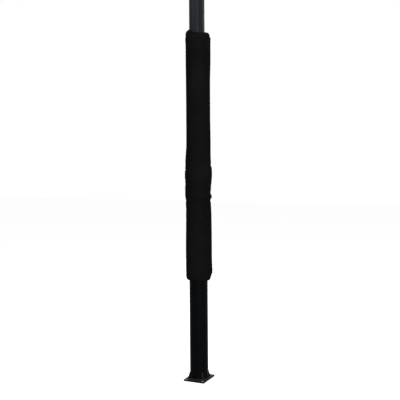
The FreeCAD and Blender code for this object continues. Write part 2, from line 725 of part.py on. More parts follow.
def make_eye_fasteners():
    saddles = []
    hole_dia = "sizes.eye_bolt_dia + 2 * sizes.seat_gap"
    for number, side in enumerate((1, -1), start=1):
        tag = "_%d" % number
        sign = "" if side > 0 else "-"
        outward = V(side, 0, 0)
        block = cylinder("saddle_block" + tag, "sizes.saddle_dia",
                         "sizes.eye_standoff + sizes.mast_dia / 2",
                         "0", "0", EYE_Z, outward)
        hole = cylinder("saddle_hole" + tag, hole_dia, "sizes.mast_dia",
                        "0", "0", EYE_Z, outward)
        seat = cylinder("saddle_seat" + tag, "sizes.mast_dia + 2 * sizes.seat_gap",
                        "sizes.saddle_dia * 2", "0", "0", EYE_Z + " - sizes.saddle_dia")
        bored = cut("saddle_bored" + tag, block, hole)
        saddles.append(cut("eye_saddle" + tag, bored, seat))
    keep(group("eye_saddles", saddles), "eye_saddles")
    outward = V(1, 0, 0)
    face = SADDLE_FACE
    disc = cylinder("eye_washer_disc", "sizes.eye_washer_dia", "sizes.eye_washer_thick",
                    face, "0", EYE_Z, outward)
    hole = cylinder("eye_washer_hole", hole_dia, "sizes.eye_washer_thick",
                    face, "0", EYE_Z, outward)
    keep(cut("eye_washer", disc, hole), "eye_washer")
    block = hexagon("eye_nut_block", "sizes.eye_nut_width", "sizes.eye_nut_tall",
                    NUT_FACE, "0", EYE_Z, outward)
    thread = cylinder("eye_nut_thread", hole_dia, "sizes.eye_nut_tall",
                      NUT_FACE, "0", EYE_Z, outward)
    keep(cut("eye_nut", block, thread), "eye_nut")


# ring that hangs in the eye: its wire rests on the eye's inner edge
RING_R = "(sizes.ring_bore / 2 + sizes.ring_wire / 2)"
RING_TOP = "(" + EYE_Z + " - sizes.eye_bore / 2 + sizes.ring_wire / 2 + sizes.soft_gap)"


def make_net_ring():
    ring = torus("net_ring", RING_R, "sizes.ring_wire", EYE_X, RING_TOP + " - " + RING_R, V(1, 0, 0))
    keep(ring, "net_ring")


make_base_plate()
make_base_weld()
make_gussets()
make_lower_tube()
make_mouth_bush()
make_clamp_collar()
make_clamp_fasteners()
make_mast_tube()
make_foot_bush()
make_foot_screws()
make_sleeve()
make_mast_cap()
make_net_eye()
make_eye_fasteners()
make_net_ring()
doc.recompute()

for item in doc.Objects:
    if "Invalid" in item.State or "Error" in item.State:
        raise RuntimeError("%s did not build: %s" % (item.Name, item.State))
os.makedirs("parts", exist_ok=True)
for label, piece in nodes.items():
    shape = piece.Shape
    if shape.isNull() or not shape.isValid() or not shape.Solids:
        raise RuntimeError(label + " is not a valid solid")
for label, piece in nodes.items():
    piece.Shape.exportStep("parts/%s.step" % label)
    box = piece.Shape.BoundBox
    print("%-14s solids %d  volume %10.1f  z %8.2f to %8.2f" % (
        label, len(piece.Shape.Solids), piece.Shape.Volume, box.ZMin, box.ZMax))
print("eye centre", mm(EYE_X), "ring top wire", mm(RING_TOP), "nodes", len(nodes))
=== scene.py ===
# %% [markdown]
# # A padded volleyball post
# This notebook dresses one telescopic volleyball post: a bolt-down foot, a black lower tube, a slate
# coloured mast that slides in it, and a long vinyl sleeve filled with foam. The steel and plastic pieces
# come from the construction model at their real size, so they only need finishes. The sleeve, its flap,
# the weld beads and the stitching are soft or fine, and they are modelled here.

# %% Load the construction model
import math
import random

import bpy
from mathutils import Matrix, Vector
from mathutils.bvhtree import BVHTree


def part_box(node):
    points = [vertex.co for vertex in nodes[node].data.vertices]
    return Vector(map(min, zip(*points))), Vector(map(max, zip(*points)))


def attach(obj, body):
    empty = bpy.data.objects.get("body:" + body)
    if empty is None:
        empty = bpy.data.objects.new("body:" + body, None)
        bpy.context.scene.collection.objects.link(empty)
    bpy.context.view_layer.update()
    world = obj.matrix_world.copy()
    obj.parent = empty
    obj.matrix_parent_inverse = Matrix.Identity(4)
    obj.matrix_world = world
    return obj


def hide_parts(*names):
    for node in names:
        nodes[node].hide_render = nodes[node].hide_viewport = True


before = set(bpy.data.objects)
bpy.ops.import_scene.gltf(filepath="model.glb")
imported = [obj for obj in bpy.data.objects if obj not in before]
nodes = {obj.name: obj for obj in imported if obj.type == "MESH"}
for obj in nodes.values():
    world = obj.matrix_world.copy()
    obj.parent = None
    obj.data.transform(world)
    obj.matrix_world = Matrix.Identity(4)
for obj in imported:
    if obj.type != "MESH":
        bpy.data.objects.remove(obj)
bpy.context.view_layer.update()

# %% [markdown]
# ## The camera
# The picture was taken from about 4 m, a little above waist height, looking slightly down. The post's
# vertical edges and the corners of its floor plate fix the place: the plate is seen from one corner,
# so the camera stands about 25 degrees round from the plate's front. A constraint that tracks the post
# would aim a camera too, but it can't hold a measured pan and roll. So the turn is built from three
# directions: right, up and backwards, because a camera looks along its own -Z axis.

# %% Camera
PHOTO_AZIMUTH = math.radians(24.9)
PHOTO_DISTANCE = 4.10
PHOTO_HEIGHT = 1.317
PHOTO_TILT = math.radians(3.555)
PHOTO_PAN = math.radians(0.16)
PHOTO_ROLL = math.radians(-0.39)
FOCAL_PIXELS = 702.0
PHOTO_WIDTH = 400.0
SENSOR_WIDTH = 36.0
FURTHEST_SEEN = 60.0
UP = Vector((0, 0, 1))


def add_camera():
    """Stand the camera on its circle round the post and turn it by pan, tilt and roll."""
    away = Vector((math.sin(PHOTO_AZIMUTH), -math.cos(PHOTO_AZIMUTH), 0))
    level_right = Vector((math.cos(PHOTO_AZIMUTH), math.sin(PHOTO_AZIMUTH), 0))
    flat = -away * math.cos(PHOTO_PAN) + level_right * math.sin(PHOTO_PAN)
    forward = flat * math.cos(PHOTO_TILT) - UP * math.sin(PHOTO_TILT)
    right = forward.cross(UP).normalized()
    up = right.cross(forward)
    rolled_right = right * math.cos(PHOTO_ROLL) + up * math.sin(PHOTO_ROLL)
    rolled_up = up * math.cos(PHOTO_ROLL) - right * math.sin(PHOTO_ROLL)
    data = bpy.data.cameras.new("photo_camera")
    data.sensor_width = SENSOR_WIDTH
    data.lens = FOCAL_PIXELS * SENSOR_WIDTH / PHOTO_WIDTH
    data.clip_end = FURTHEST_SEEN
    camera = bpy.data.objects.new("photo_camera", data)
    bpy.context.scene.collection.objects.link(camera)
    turn = Matrix((rolled_right, rolled_up, -forward)).transposed().to_4x4()
    place = away * PHOTO_DISTANCE + Vector((0, 0, PHOTO_HEIGHT))
    camera.matrix_world = Matrix.Translation(place) @ turn
    bpy.context.scene.camera = camera
    return camera


camera = add_camera()
print("camera at", [round(v, 3) for v in camera.location], "lens", round(camera.data.lens, 1), "mm")

# %% [markdown]
# ## Floor, backdrop and light
# The floor is plain white. More light would make it white too, but it would wash out the black post. So
# the floor and the world get a little extra that only camera and mirror rays see, and it adds no light
# to the post.

# %% Node helpers
def node_tools(tree):
    """Empty a node tree and give two shortcuts: one adds a node, one links two sockets."""
    tree.nodes.clear()

    def node(kind, **settings):
        made = tree.nodes.new(kind)
        for key, value in settings.items():
            setattr(made, key, value)
        return made

    return node, tree.links.new


def new_material(name):
    """An empty node material with its two shortcuts."""
    material = bpy.data.materials.new(name)
    material.use_nodes = True
    node, link = node_tools(material.node_tree)
    return material, node, link


def calculate(node, link, operation, first, second):
    """A Math node on two sockets, or on a socket and a number."""
    made = node("ShaderNodeMath", operation=operation)
    link(first, made.inputs[0])
    if isinstance(second, float):
        made.inputs[1].default_value = second
    else:
        link(second, made.inputs[1])
    return made.outputs[0]


def seen_by_picture(node, link):
    """1 for camera, mirror and glass rays, 0 for the rays that light the post."""
    path = node("ShaderNodeLightPath")
    rays = [path.outputs[name] for name in ("Is Camera Ray", "Is Glossy Ray", "Is Transmission Ray")]
    direct = calculate(node, link, "MAXIMUM", rays[0], rays[1])
    return calculate(node, link, "MAXIMUM", direct, rays[2])


# %% Floor
FLOOR_SIZE = 30.0
FLOOR_DROP = 0.0005
FLOOR_COLOUR = (0.42, 0.42, 0.42, 1)
FLOOR_LIFT = 0.95


def deselect():
    bpy.ops.object.select_all(action="DESELECT")


def floor_material():
    material, node, link = new_material("white_floor")
    paper = node("ShaderNodeBsdfDiffuse")
    paper.inputs["Color"].default_value = FLOOR_COLOUR
    glow = node("ShaderNodeEmission")
    lift = calculate(node, link, "MULTIPLY", seen_by_picture(node, link), FLOOR_LIFT)
    link(lift, glow.inputs["Strength"])
    both = node("ShaderNodeAddShader")
    link(paper.outputs[0], both.inputs[0])
    link(glow.outputs[0], both.inputs[1])
    out = node("ShaderNodeOutputMaterial")
    link(both.outputs[0], out.inputs["Surface"])
    return material


deselect()
bpy.ops.mesh.primitive_plane_add(size=FLOOR_SIZE, location=(0, 0, -FLOOR_DROP))
floor = bpy.context.object
floor.name = "floor"
floor.data.materials.append(floor_material())
print("floor", FLOOR_SIZE, "m square")

# %% World
WORLD_LIGHT = 0.06


def set_world():
    """White to the picture, and a soft even light on the post."""
    world = bpy.data.worlds.new("white_room")
    bpy.context.scene.world = world
    world.use_nodes = True
    node, link = node_tools(world.node_tree)
    background = node("ShaderNodeBackground")
    background.inputs["Color"].default_value = (1, 1, 1, 1)
    strength = node("ShaderNodeMapRange")
    strength.inputs["To Min"].default_value = WORLD_LIGHT
    strength.inputs["To Max"].default_value = 1.0
    link(seen_by_picture(node, link), strength.inputs["Value"])
    link(strength.outputs["Result"], background.inputs["Strength"])
    out = node("ShaderNodeOutputWorld")
    link(background.outputs[0], out.inputs["Surface"])


set_world()
bpy.context.scene.view_settings.view_transform = "Standard"
print("world light", WORLD_LIGHT)

# %% [markdown]
# A sun would draw hard shadows, so every lamp is a rectangle, and most are large. A broad soft one stands
# in front, a little to the right, where the sleeve's long highlight is. A narrow strip behind on the
# right draws the right edges, and a panel above lights the floor plate and the sleeve's shoulders. A
# second soft lamp lights the back, which the picture doesn't show. The bare mast is paler than the rest
# in the picture, so two small lamps with narrow beams are aimed at it alone.

# %% Lamps
# name, azimuth, distance, height, width, tallness, watts, height aimed at, degrees of its beam
LAMPS = [
    ("front_softbox", 33, 4.5, 1.9, 1.0, 3.4, 270, 1.30, 180),
    ("right_strip", 132, 3.0, 1.8, 0.4, 3.6, 14, 1.50, 180),
    ("top_panel", 20, 1.5, 4.6, 2.4, 2.4, 60, 0.60, 180),
    ("back_softbox", 205, 3.2, 3.8, 1.4, 2.0, 170, 1.30, 180),
    ("mast_right_snoot", 135, 1.3, 2.2, 0.3, 0.3, 1.1, 2.32, 34),
    ("mast_left_snoot", -30, 1.3, 2.2, 0.3, 0.3, 0.6, 2.32, 34),
]


def add_lamp(name, azimuth, distance, height, width, tall, watts, aim_height, beam):
    """A soft rectangle of light on a circle round the post, azimuth counted as the camera's."""
    data = bpy.data.lights.new(name, "AREA")
    data.spread = math.radians(beam)
    data.shape = "RECTANGLE"
    data.size = width
    data.size_y = tall
    data.energy = watts
    lamp = bpy.data.objects.new(name, data)
    bpy.context.scene.collection.objects.link(lamp)
    angle = math.radians(azimuth)
    lamp.location = (distance * math.sin(angle), -distance * math.cos(angle), height)
    aim = Vector((0, 0, aim_height)) - lamp.location
    lamp.rotation_euler = aim.to_track_quat("-Z", "Y").to_euler()
    return lamp


lamps = [add_lamp(*row) for row in LAMPS]
print("lamps", [lamp.name for lamp in lamps])

# %% [markdown]
# ## Paint and metal
# Photographs of real paint could be wrapped round each piece, but they need files and unwrapping, and
# they stretch. So every finish is procedural and reads object coordinates, which are metres here: a noise
# scale of 700 makes specks of about a millimetre and a half. One noise mixes two close colours, and
# others drive the roughness and a shallow bump.

# %% Finish helpers
NOISE_MIDDLE = (0.25, 0.75)


def coordinates(node, link, stretch=(1, 1, 1)):
    """Object coordinates, scaled along each axis."""
    where = node("ShaderNodeTexCoord")
    mapping = node("ShaderNodeMapping")
    mapping.inputs["Scale"].default_value = stretch
    link(where.outputs["Object"], mapping.inputs["Vector"])
    return mapping.outputs["Vector"]


def noise(node, link, vector, scale, detail, rough=0.55):
    made = node("ShaderNodeTexNoise")
    made.inputs["Scale"].default_value = scale
    made.inputs["Detail"].default_value = detail
    made.inputs["Roughness"].default_value = rough
    link(vector, made.inputs["Vector"])
    return made.outputs["Fac"]


def ramp(node, link, factor, low, high, first=0.3, last=0.7):
    """Blend from one colour to another as a factor rises."""
    made = node("ShaderNodeValToRGB")
    for stop, place, colour in zip(made.color_ramp.elements, (first, last), (low, high)):
        stop.position = place
        stop.color = (*colour, 1)
    link(factor, made.inputs["Fac"])
    return made.outputs["Color"]


def remap(node, link, value, source, target):
    """Carry a number from one range to another, held at both ends."""
    made = node("ShaderNodeMapRange")
    for name, number in zip(("From Min", "From Max", "To Min", "To Max"), (*source, *target)):
        made.inputs[name].default_value = number
    link(value, made.inputs["Value"])
    return made.outputs["Result"]


def spread(node, link, factor, low, high):
    """Turn the middle of a noise, where most of it lies, into a number between two limits."""
    return remap(node, link, factor, NOISE_MIDDLE, (low, high))


def mix_colours(node, link, factor, first, second):
    """Blend a colour socket towards a plain colour."""
    made = node("ShaderNodeMix", data_type="RGBA")
    link(factor, made.inputs["Factor"])
    link(first, made.inputs[6])
    made.inputs[7].default_value = (*second, 1)
    return made.outputs[2]


def bump(node, link, height, strength, distance):
    made = node("ShaderNodeBump")
    made.inputs["Strength"].default_value = strength
    made.inputs["Distance"].default_value = distance
    link(height, made.inputs["Height"])
    return made.outputs["Normal"]


def finish_shader(node, link, colour, roughness, normal, metallic=0.0, specular=0.5):
    shader = node("ShaderNodeBsdfPrincipled")
    link(colour, shader.inputs["Base Color"])
    link(roughness, shader.inputs["Roughness"])
    link(normal, shader.inputs["Normal"])
    shader.inputs["Metallic"].default_value = metallic
    shader.inputs["Specular IOR Level"].default_value = specular
    out = node("ShaderNodeOutputMaterial")
    link(shader.outputs[0], out.inputs["Surface"])


def paint(names, material):
    """Give nodes of the construction model one finish."""
    for name in names:
        nodes[name].data.materials.clear()
        nodes[name].data.materials.append(material)
    print(material.name, "on", len(names), "nodes")


# %% [markdown]
# The foot and the lower tube are powder coated: a baked plastic skin with a faint orange peel. Faces
# that look up near the floor are made much paler: partly dust, partly painted light from the lamps above.
# The bolts have chipped the coat off the anchor holes. Painting those marks by hand would need an
# unwrapped image. Here a mask finds them by their place: low and facing up for the dust and painted top
# light, close to a hole's axis for the bare steel.

# %% Places on the foot
plate_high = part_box("base_plate")[1]
ANCHOR_EDGE = 0.012
ANCHOR_R = 0.007
CHIPPED_R = ANCHOR_R * 1.05
# where the dust and painted top light go: low down, on faces that look up
DUST_AND_TOP_LIGHT_HEIGHTS = (0.05, 0.09)
DUST_AND_TOP_LIGHT_SLOPES = (0.05, 0.45)


def object_axis(node, link, output, axis):
    """One axis of the object's coordinates or of its normals."""
    where = node("ShaderNodeTexCoord")
    split = node("ShaderNodeSeparateXYZ")
    link(where.outputs[output], split.inputs[0])
    return split.outputs[axis]


def dust_and_top_light_place(node, link):
    """1 on faces that look up near the floor, 0 on upright ones and higher up: dust and painted top
    light.
    """
    low_down = remap(node, link, object_axis(node, link, "Object", "Z"), DUST_AND_TOP_LIGHT_HEIGHTS, (1.0, 0.0))
    looks_up = remap(node, link, object_axis(node, link, "Normal", "Z"), DUST_AND_TOP_LIGHT_SLOPES, (0.0, 1.0))
    return calculate(node, link, "MULTIPLY", low_down, looks_up)


def in_anchor_hole(node, link):
    """1 on the walls of the four anchor holes and just round their rims."""
    where = node("ShaderNodeTexCoord")
    mirrored = node("ShaderNodeVectorMath", operation="ABSOLUTE")
    link(where.outputs["Object"], mirrored.inputs[0])
    off = node("ShaderNodeVectorMath", operation="SUBTRACT")
    off.inputs[1].default_value = (plate_high.x - ANCHOR_EDGE, plate_high.y - ANCHOR_EDGE, 0)
    link(mirrored.outputs[0], off.inputs[0])
    flat = node("ShaderNodeVectorMath", operation="MULTIPLY")
    flat.inputs[1].default_value = (1, 1, 0)
    link(off.outputs[0], flat.inputs[0])
    away = node("ShaderNodeVectorMath", operation="LENGTH")
    link(flat.outputs[0], away.inputs[0])
    return calculate(node, link, "LESS_THAN", away.outputs["Value"], CHIPPED_R)


print("anchor holes", round(plate_high.x - ANCHOR_EDGE, 4), round(plate_high.y - ANCHOR_EDGE, 4))

# %% Black powder coat
COAT_DARK = (0.0017, 0.0019, 0.0024)
COAT_LIGHT = (0.0027, 0.0029, 0.0035)
# dust, and painted light from the lamps above, on low faces that look up
DUST_AND_TOP_LIGHT = (0.0360, 0.0360, 0.0370)
BARE = (0.3000, 0.3000, 0.2950)


def powder_coat():
    material, node, link = new_material("black_powder_coat")
    place = coordinates(node, link)
    cloud = noise(node, link, place, scale=14, detail=5)
    peel = noise(node, link, place, scale=700, detail=2)
    speck = noise(node, link, place, scale=90, detail=6, rough=0.7)
    colour = ramp(node, link, cloud, COAT_DARK, COAT_LIGHT)
    patchy = spread(node, link, speck, 0.35, 0.85)
    # patchy dust and painted top light, on low faces that look up
    dust_and_top_light_share = calculate(node, link, "MULTIPLY", dust_and_top_light_place(node, link), patchy)
    colour = mix_colours(node, link, dust_and_top_light_share, colour, DUST_AND_TOP_LIGHT)
    colour = mix_colours(node, link, in_anchor_hole(node, link), colour, BARE)
    rough = spread(node, link, speck, 0.26, 0.38)
    relief = bump(node, link, peel, strength=0.12, distance=0.0004)
    finish_shader(node, link, colour, rough, relief, specular=0.007)
    return material


coat = powder_coat()
paint(("base_plate", "gussets", "base_weld", "lower_tube", "clamp_collar"), coat)

# %% [markdown]
# The mast's paint is smoother and a little paler, and it slides in the lower tube, so it carries fine
# upright rub marks. Stretching the coordinates before the noise turns round specks into long streaks,
# which is quicker than drawing scratches and never repeats.

# %% Slate mast paint
SLATE_DARK = (0.0086, 0.0096, 0.0118)
SLATE_LIGHT = (0.0107, 0.0120, 0.0145)
RUBBED = (0.020, 0.0215, 0.024)
STREAK_STRETCH = (60, 60, 1.2)
SCRATCH_STRETCH = (900, 900, 5)
SCRATCHED_OVER = 0.70


def mast_paint():
    material, node, link = new_material("slate_mast_paint")
    place = coordinates(node, link)
    upright = coordinates(node, link, STREAK_STRETCH)
    scratch = coordinates(node, link, SCRATCH_STRETCH)
    cloud = noise(node, link, place, scale=9, detail=5)
    streak = noise(node, link, upright, scale=3, detail=5, rough=0.6)
    scrape = noise(node, link, scratch, scale=1, detail=3, rough=0.7)
    peel = noise(node, link, place, scale=420, detail=2)
    colour = ramp(node, link, streak, SLATE_DARK, SLATE_LIGHT, first=0.35, last=0.65)
    worn = calculate(node, link, "GREATER_THAN", scrape, SCRATCHED_OVER)
    faint = calculate(node, link, "MULTIPLY", worn, spread(node, link, cloud, 0.0, 0.45))
    colour = mix_colours(node, link, faint, colour, RUBBED)
    rough = spread(node, link, cloud, 0.27, 0.38)
    relief = bump(node, link, peel, strength=0.06, distance=0.0003)
    finish_shader(node, link, colour, rough, relief, specular=0.015)
    return material


paint(("mast_tube",), mast_paint())

# %% [markdown]
# Bolts, washers, nuts, the net eye and its ring are zinc plated: a real metal shader, cloudy in its
# gloss. The guides, the cap and the saddles are moulded plastic, dull with a fine spark texture from the
# mould. Each is one material on all its pieces, because a post's fittings come from one batch.

# %% Zinc-plated steel
ZINC_DARK = (0.24, 0.25, 0.265)
ZINC_LIGHT = (0.40, 0.40, 0.39)


def zinc_steel():
    material, node, link = new_material("zinc_plated_steel")
    place = coordinates(node, link)
    cloud = noise(node, link, place, scale=60, detail=5)
    grain = noise(node, link, place, scale=1400, detail=3)
    colour = ramp(node, link, cloud, ZINC_DARK, ZINC_LIGHT)
    rough = spread(node, link, cloud, 0.24, 0.42)
    relief = bump(node, link, grain, strength=0.15, distance=0.0002)
    finish_shader(node, link, colour, rough, relief, metallic=1.0)
    return material


paint(("clamp_bolts", "clamp_washers", "clamp_nuts", "foot_screws",
       "net_eye", "eye_washer", "eye_nut", "net_ring"), zinc_steel())

# %% Moulded plastic
PLASTIC_DARK = (0.0075, 0.0075, 0.0080)
PLASTIC_LIGHT = (0.0115, 0.0115, 0.0120)


def moulded_plastic():
    material, node, link = new_material("moulded_plastic")
    place = coordinates(node, link)
    cloud = noise(node, link, place, scale=30, detail=4)
    spark = noise(node, link, place, scale=1600, detail=2)
    colour = ramp(node, link, cloud, PLASTIC_DARK, PLASTIC_LIGHT)
    rough = spread(node, link, cloud, 0.46, 0.60)
    relief = bump(node, link, spark, strength=0.25, distance=0.0002)
    finish_shader(node, link, colour, rough, relief, specular=0.12)
    return material


paint(("mouth_bush", "foot_bush", "mast_cap", "eye_saddles"), moulded_plastic())

# %% [markdown]
# ## The vinyl
# The sleeve's cover is coated cloth: black, nearly dull, with a fine pebbled grain. Real pebbles would
# take millions of faces, so they are a bump: small cells from a Voronoi texture, on a broader wrinkle.
# A slow noise makes the gloss uneven, as handling does.

# %% Vinyl
VINYL_DARK = (0.0034, 0.0034, 0.0034)
VINYL_LIGHT = (0.0052, 0.0052, 0.0052)
GRAIN_SCALE = 620
WRINKLE_SHARE = 1.5


def black_vinyl():
    material, node, link = new_material("black_vinyl")
    place = coordinates(node, link)
    cloud = noise(node, link, place, scale=7, detail=6, rough=0.6)
    cells = node("ShaderNodeTexVoronoi", feature="F1")
    cells.inputs["Scale"].default_value = GRAIN_SCALE
    link(place, cells.inputs["Vector"])
    wrinkle = noise(node, link, place, scale=45, detail=5, rough=0.6)
    heights = node("ShaderNodeMath", operation="MULTIPLY_ADD")
    heights.inputs[1].default_value = WRINKLE_SHARE
    link(wrinkle, heights.inputs[0])
    link(cells.outputs["Distance"], heights.inputs[2])
    colour = ramp(node, link, cloud, VINYL_DARK, VINYL_LIGHT)
    rough = spread(node, link, cloud, 0.50, 0.64)
    relief = bump(node, link, heights.outputs[0], strength=0.22, distance=0.0006)
    finish_shader(node, link, colour, rough, relief, specular=0.001)
    return material


vinyl = black_vinyl()
print("vinyl ready")

# %% [markdown]
# ## The padded sleeve
# A sheet of foam is wrapped round both tubes and a vinyl cover is closed over it. It is fat round the
# lower tube, swells where it passes over the clamp collar, is folded in just under it, and slims where
# only the mast is inside. The closing flap makes its right side thicker than its left. Spinning one
# profile would be quick, but it comes out as exact as a lathe's work. So the shape starts as an upright
# open tube of small squares, and each ring gets the radius that the padding has at its height and in its
# direction. Then both ends are turned in to the tubes, folds are pressed in, and the cover is blown up a
# little as cloth, which gives it the soft unevenness of wrapped foam.

# %% Sizes taken from the construction model
tube_low, tube_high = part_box("lower_tube")
mast_low, mast_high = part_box("mast_tube")
collar_low, collar_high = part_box("clamp_collar")
cover_low, cover_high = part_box("pad_cover")
flap_low, flap_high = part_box("pad_flap")
TUBE_R = (tube_high.x - tube_low.x) / 2
MAST_R = (mast_high.x - mast_low.x) / 2
COLLAR_MID = (collar_low.z + collar_high.z) / 2
PAD_LOW = cover_low.z
PAD_HIGH = cover_high.z
CLOSURE = math.atan2((flap_low.y + flap_high.y) / 2, (flap_low.x + flap_high.x) / 2)
RIGHT = PHOTO_AZIMUTH
print("sleeve from", round(PAD_LOW, 3), "to", round(PAD_HIGH, 3), "closure at",
      round(math.degrees(CLOSURE), 1), "degrees")

# %% Radius of the padding round its height
# height, radius on the picture's left, radius on its right under the flap
SLEEVE_SIDES = [
    # full at the lower end, slimmer upwards
    (0.591, 0.0745, 0.0760),
    (0.612, 0.0745, 0.0750),
    (0.630, 0.0745, 0.0800),
    (0.720, 0.0750, 0.0780),
    (0.824, 0.0735, 0.0775),
    (0.960, 0.0705, 0.0765),
    (1.010, 0.0710, 0.0755),
    # folded in, then gathered in a knob on the right
    (1.050, 0.0725, 0.0740),
    (1.068, 0.0730, 0.0745),
    (1.084, 0.0755, 0.0815),
    (1.102, 0.0765, 0.0760),
    (1.120, 0.0760, 0.0750),
    (1.155, 0.0760, 0.0775),
    # swollen over the clamp collar
    (1.206, 0.0790, 0.0810),
    (1.247, 0.0780, 0.0800),
    (1.264, 0.0750, 0.0755),
    (1.293, 0.0750, 0.0745),
    (1.322, 0.0730, 0.0735),
    # only the mast inside, and wider again at the upper end
    (1.386, 0.0690, 0.0735),
    (1.526, 0.0680, 0.0720),
    (1.756, 0.0675, 0.0725),
    (1.871, 0.0680, 0.0755),
    (1.950, 0.0675, 0.0760),
    (2.005, 0.0695, 0.0765),
    (2.040, 0.0690, 0.0730),
]


def smooth_between(table, where, column):
    """A curve through the table's values, its slope at each one set by both neighbours."""
    if where <= table[0][0]:
        return table[0][column]
    if where >= table[-1][0]:
        return table[-1][column]
    at = next(i for i in range(len(table) - 1) if where <= table[i + 1][0])
    first, last = table[at], table[at + 1]
    before, after = table[max(at - 1, 0)], table[min(at + 2, len(table) - 1)]
    span = last[0] - first[0]
    start_slope = (last[column] - before[column]) / (last[0] - before[0]) * span
    end_slope = (after[column] - first[column]) / (after[0] - first[0]) * span
    t = (where - first[0]) / span
    return (first[column] * (2 * t ** 3 - 3 * t ** 2 + 1) + start_slope * (t ** 3 - 2 * t ** 2 + t)
            + last[column] * (3 * t ** 2 - 2 * t ** 3) + end_slope * (t ** 3 - t ** 2))


def sleeve_radius(angle, height):
    """Radius of the padding in a direction and at a height, before any fold."""
    left = smooth_between(SLEEVE_SIDES, height, 1)
    right = smooth_between(SLEEVE_SIDES, height, 2)
    return (left + right) / 2 + (right - left) / 2 * math.cos(angle - RIGHT)


print("radius at the collar", round(sleeve_radius(RIGHT, COLLAR_MID), 4))

# %% [markdown]
# Folds in the vinyl are narrow valleys with a soft ridge on each side. Sculpting would make them, but a
# script can't repeat a hand's strokes, so each fold is a curved line round the sleeve: it has a middle
# direction, a reach, a height, a slant and a sag, and it fades at both ends. The large ones are where the
# picture shows them. Small ones come from a seeded draw, more of them near the collar and the ends, where
# the cover is gathered.

# %% Folds
# direction, half reach (both degrees from the picture's right), height, slant, sag, depth, half width
LARGE_FOLDS = [
    (-8, 62, 1.066, 0.000, 0.006, 0.0026, 0.0070),
    (-30, 40, 1.130, -0.006, 0.004, 0.0018, 0.0060),
    (-20, 46, 1.279, -0.030, 0.000, 0.0024, 0.0060),
    (-128, 56, 1.372, -0.028, -0.004, 0.0026, 0.0060),
    (-105, 26, 1.384, -0.010, -0.002, 0.0014, 0.0045),
    (-176, 34, 1.246, 0.006, 0.003, 0.0018, 0.0055),
    (-172, 40, 1.176, -0.008, -0.003, 0.0006, 0.0055),
    (-95, 36, 0.972, 0.004, 0.016, 0.0016, 0.0060),
    (-80, 34, 0.944, -0.004, 0.016, 0.0014, 0.0065),
    (150, 48, 1.050, 0.016, 0.004, 0.0011, 0.0070),
    (100, 40, 1.262, 0.022, -0.004, 0.0020, 0.0060),
    (-75, 40, 1.998, 0.010, 0.004, 0.0016, 0.0060),
    (-120, 34, 1.966, -0.008, -0.006, 0.0013, 0.0055),
    (120, 44, 1.985, 0.008, 0.004, 0.0010, 0.0060),
]
SMALL_FOLDS = 46
FOLD_SEED = 31
# middle height, spread up and down, share of the small folds
GATHERED = [(1.20, 0.13, 0.42), (2.00, 0.05, 0.20), (0.64, 0.05, 0.14), (1.02, 0.08, 0.24)]
CLEAR_OF_ENDS = 0.03
# limits of the small folds: direction, half reach, slant, sag, depth, half width
SMALL_LIMITS = [(-180, 180), (14, 38), (-0.022, 0.022), (-0.008, 0.012), (0.0005, 0.0013),
                (0.0045, 0.0085)]


def draw_small_folds():
    """Short shallow folds, most of them near the gathered heights."""
    dice = random.Random(FOLD_SEED)
    folds = []
    for _ in range(SMALL_FOLDS):
        pick = dice.random()
        for middle, spread_up, share in GATHERED:
            if pick < share:
                break
            pick -= share
        height = dice.gauss(middle, spread_up)
        height = min(max(height, PAD_LOW + CLEAR_OF_ENDS), PAD_HIGH - CLEAR_OF_ENDS)
        direction, reach, *shape = [dice.uniform(low, high) for low, high in SMALL_LIMITS]
        folds.append((direction, reach, height, *shape))
    return folds


FOLDS = LARGE_FOLDS + draw_small_folds()
print("folds", len(FOLDS))

# %% Depth of the folds
RIDGE = 0.45
RIDGE_WIDTH = 4.5
FADE_POWER = 1.3
FOLD_ENDS = 3.2


def fold_depth(angle, height):
    """How far all the folds push the cover in at a point."""
    pushed = 0.0
    turn = math.degrees(angle - RIGHT)
    for middle, reach, level, slant, sag, depth, half_width in FOLDS:
        across = ((turn - middle + 180) % 360 - 180) / reach
        line = level + slant * across - sag * (1 - across * across)
        off = (height - line) / half_width
        if abs(across) >= 1 or abs(off) >= FOLD_ENDS:
            continue
        fade = math.cos(across * math.pi / 2) ** FADE_POWER
        valley = (1 + RIDGE) * math.exp(-off * off)
        pushed += depth * fade * (valley - RIDGE * math.exp(-off * off / RIDGE_WIDTH))
    return pushed


under_knob = LARGE_FOLDS[0][2]
print("depth of the fold under the knob", round(fold_depth(RIGHT, under_knob) * 1000, 2), "mm")

# %% [markdown]
# The tube of squares starts as a cylinder with no ends. Its long edges are selected and subdivided, which
# gives a ring every 5 or 6 mm, enough for a fold. Both ends are then extruded in rings along a rounded
# corner and into the bore, as a real cover is turned in and tucked away.

# %% Small squares on an upright tube
COLUMNS = 88
ROWS = (15, 15)
START_R = 0.07
TOP_CORNER = (0.017, 0.022)
FOOT_CORNER = (0.013, 0.026)
LEVEL_WITHIN = 1e-5


def only(piece):
    """Select one piece and make it active."""
    deselect()
    piece.select_set(True)
    bpy.context.view_layer.objects.active = piece


def apply_place(piece):
    """Keep a piece's place in its mesh, with the object at the origin."""
    only(piece)
    bpy.ops.object.transform_apply(location=True, rotation=True, scale=True)


def edit_parts(piece, kind, wanted):
    """Enter edit mode with those vertices, edges or faces selected that pass a test."""
    only(piece)
    bpy.ops.object.mode_set(mode="EDIT")
    bpy.ops.mesh.select_mode(type=kind)
    bpy.ops.mesh.select_all(action="DESELECT")
    bpy.ops.object.mode_set(mode="OBJECT")
    mesh = piece.data
    parts = {"VERT": mesh.vertices, "EDGE": mesh.edges, "FACE": mesh.polygons}[kind]
    for part in parts:
        part.select = wanted(part)
    bpy.ops.object.mode_set(mode="EDIT")


def divide_along(piece, axis, cuts):
    """Cut every edge that runs along an axis into equal lengths."""
    def runs_along(edge):
        first, last = [piece.data.vertices[number].co[axis] for number in edge.vertices]
        return abs(first - last) > LEVEL_WITHIN

    edit_parts(piece, "EDGE", runs_along)
    bpy.ops.mesh.subdivide(number_cuts=cuts)
    bpy.ops.object.mode_set(mode="OBJECT")


